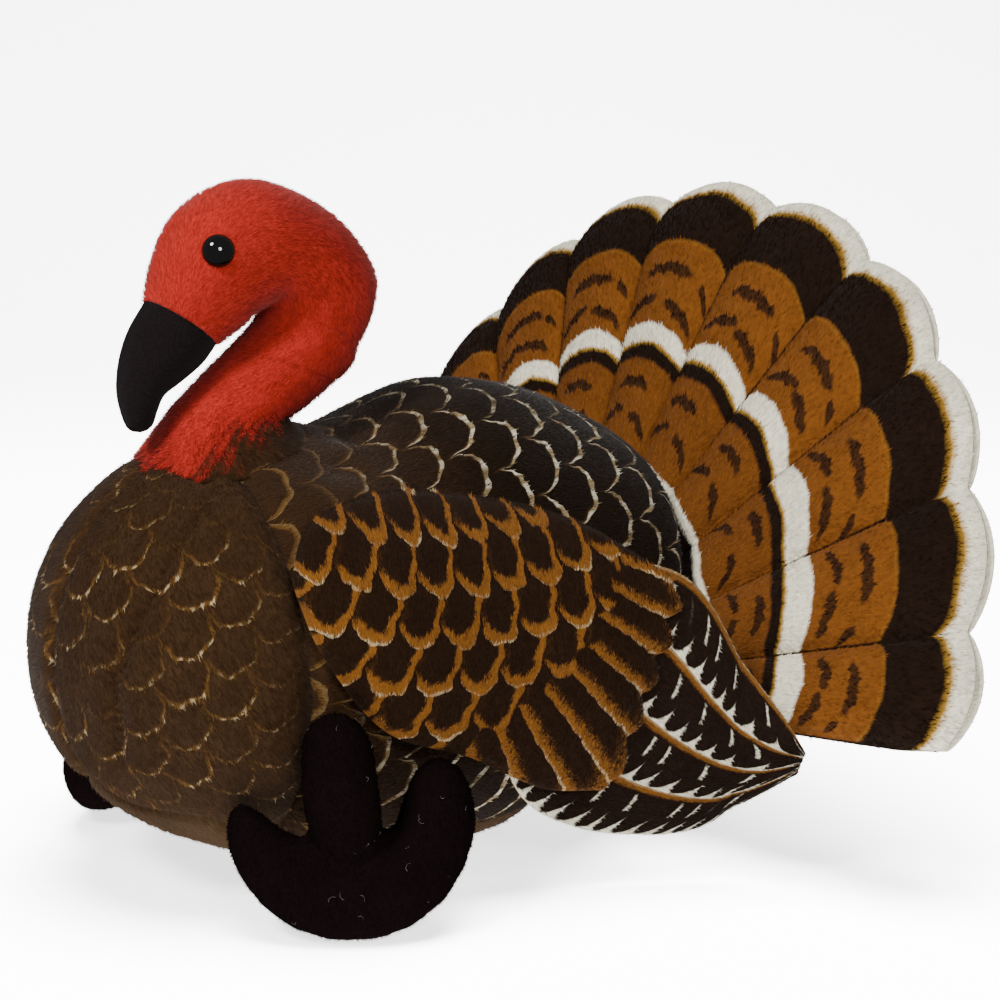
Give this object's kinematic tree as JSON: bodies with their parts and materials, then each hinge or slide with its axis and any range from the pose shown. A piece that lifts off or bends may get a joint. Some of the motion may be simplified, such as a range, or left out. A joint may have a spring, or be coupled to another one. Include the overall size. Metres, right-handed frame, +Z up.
{
  "type": "plush turkey",
  "caption": "Stuffed plush turkey lying on its belly, with a red head and neck, a black beak, soft wings, black crescent feet and a raised quilted fan tail.",
  "frame": {"origin": "middle of the bounding box at the ground, under the belly", "axes": "+X to the bird's left, -Y the way it faces, +Z up"},
  "size_m": [0.3382, 0.2731, 0.2195],
  "materials": {
    "breast_plush": "short printed pile, dark brown with faint scale edges",
    "back_plush": "short printed pile, near black brown with cream scale edges",
    "belly_plush": "short plain brown pile",
    "stuffing": "polyester fibre filling",
    "red_plush": "short bright red pile, darker in the creases",
    "beak_fabric": "smooth black fabric",
    "eye_plastic": "polished black plastic dome",
    "washer_plastic": "moulded locking washer",
    "wing_plush": "printed pile with rows of dark scales edged in rust and cream",
    "wing_lining": "plain brown pile",
    "flight_plush": "printed pile, black feathers barred in cream",
    "foot_plush": "very short black pile",
    "tail_plush": "printed pile, rust with black and white bands and a white rim",
    "tail_back_plush": "plain dark brown pile"
  },
  "bodies": {
    "torso": {"breast_left": "breast_plush", "breast_right": "breast_plush", "back_panel": "back_plush", "belly_panel": "belly_plush", "body_stuffing": "stuffing"},
    "neck": {"neck_skin": "red_plush", "neck_stuffing": "stuffing"},
    "head": {"head_skin": "red_plush", "head_stuffing": "stuffing", "beak_skin": "beak_fabric", "beak_stuffing": "stuffing", "eye_left": "eye_plastic", "eye_right": "eye_plastic", "eye_washer_left": "washer_plastic", "eye_washer_right": "washer_plastic"},
    "tail": {"tail_front_skin": "tail_plush", "tail_back_skin": "tail_back_plush", "tail_wadding_1": "stuffing", "tail_wadding_2": "stuffing", "tail_wadding_3": "stuffing", "tail_wadding_4": "stuffing", "tail_wadding_5": "stuffing", "tail_wadding_6": "stuffing", "tail_wadding_7": "stuffing", "tail_wadding_8": "stuffing", "tail_wadding_9": "stuffing", "tail_wadding_10": "stuffing", "tail_wadding_11": "stuffing"},
    "wing_left": {"wing_cover_left": "wing_plush", "wing_wadding_left": "stuffing", "wing_lining_left": "wing_lining", "wing_flight_left": "flight_plush"},
    "leg_left": {"leg_skin_left": "foot_plush", "leg_stuffing_left": "stuffing", "foot_skin_left": "foot_plush", "foot_stuffing_left": "stuffing"},
    "wing_right": {"wing_cover_right": "wing_plush", "wing_wadding_right": "stuffing", "wing_lining_right": "wing_lining", "wing_flight_right": "flight_plush"},
    "leg_right": {"leg_skin_right": "foot_plush", "leg_stuffing_right": "stuffing", "foot_skin_right": "foot_plush", "foot_stuffing_right": "stuffing"}
  },
  "joints": [
    {"name": "neck_bend", "type": "hinge", "parent": "torso", "child": "neck", "pos_m": [0, -0.076, 0.142], "axis": [1, 0, 0], "range_deg": [-5, 12], "stiffness_Nm_per_rad": 1.2},
    {"name": "head_nod", "type": "hinge", "parent": "neck", "child": "head", "pos_m": [0, -0.0415, 0.173], "axis": [-1, 0, 0], "range_deg": [-1, 18], "stiffness_Nm_per_rad": 0.8},
    {"name": "tail_lean", "type": "hinge", "parent": "torso", "child": "tail", "pos_m": [0, 0.0518, 0.04], "axis": [-1, 0, 0], "range_deg": [0, 20], "stiffness_Nm_per_rad": 1.5, "springref_deg": -2.86},
    {"name": "wing_lift_left", "type": "hinge", "parent": "torso", "child": "wing_left", "pos_m": [0.056, -0.03, 0.127], "axis": [0, -1, 0], "range_deg": [0, 35], "stiffness_Nm_per_rad": 0.35, "springref_deg": -2.86},
    {"name": "wing_lift_right", "type": "hinge", "parent": "torso", "child": "wing_right", "pos_m": [-0.056, -0.03, 0.127], "axis": [0, 1, 0], "range_deg": [0, 35], "stiffness_Nm_per_rad": 0.35, "springref_deg": -2.86},
    {"name": "leg_swing_left", "type": "hinge", "parent": "torso", "child": "leg_left", "pos_m": [0.07, -0.074, 0.066], "axis": [-0.6, -0.8, 0], "range_deg": [0, 30], "stiffness_Nm_per_rad": 0.3},
    {"name": "leg_swing_right", "type": "hinge", "parent": "torso", "child": "leg_right", "pos_m": [-0.07, -0.074, 0.066], "axis": [-0.6, 0.8, 0], "range_deg": [0, 30], "stiffness_Nm_per_rad": 0.3}
  ]
}
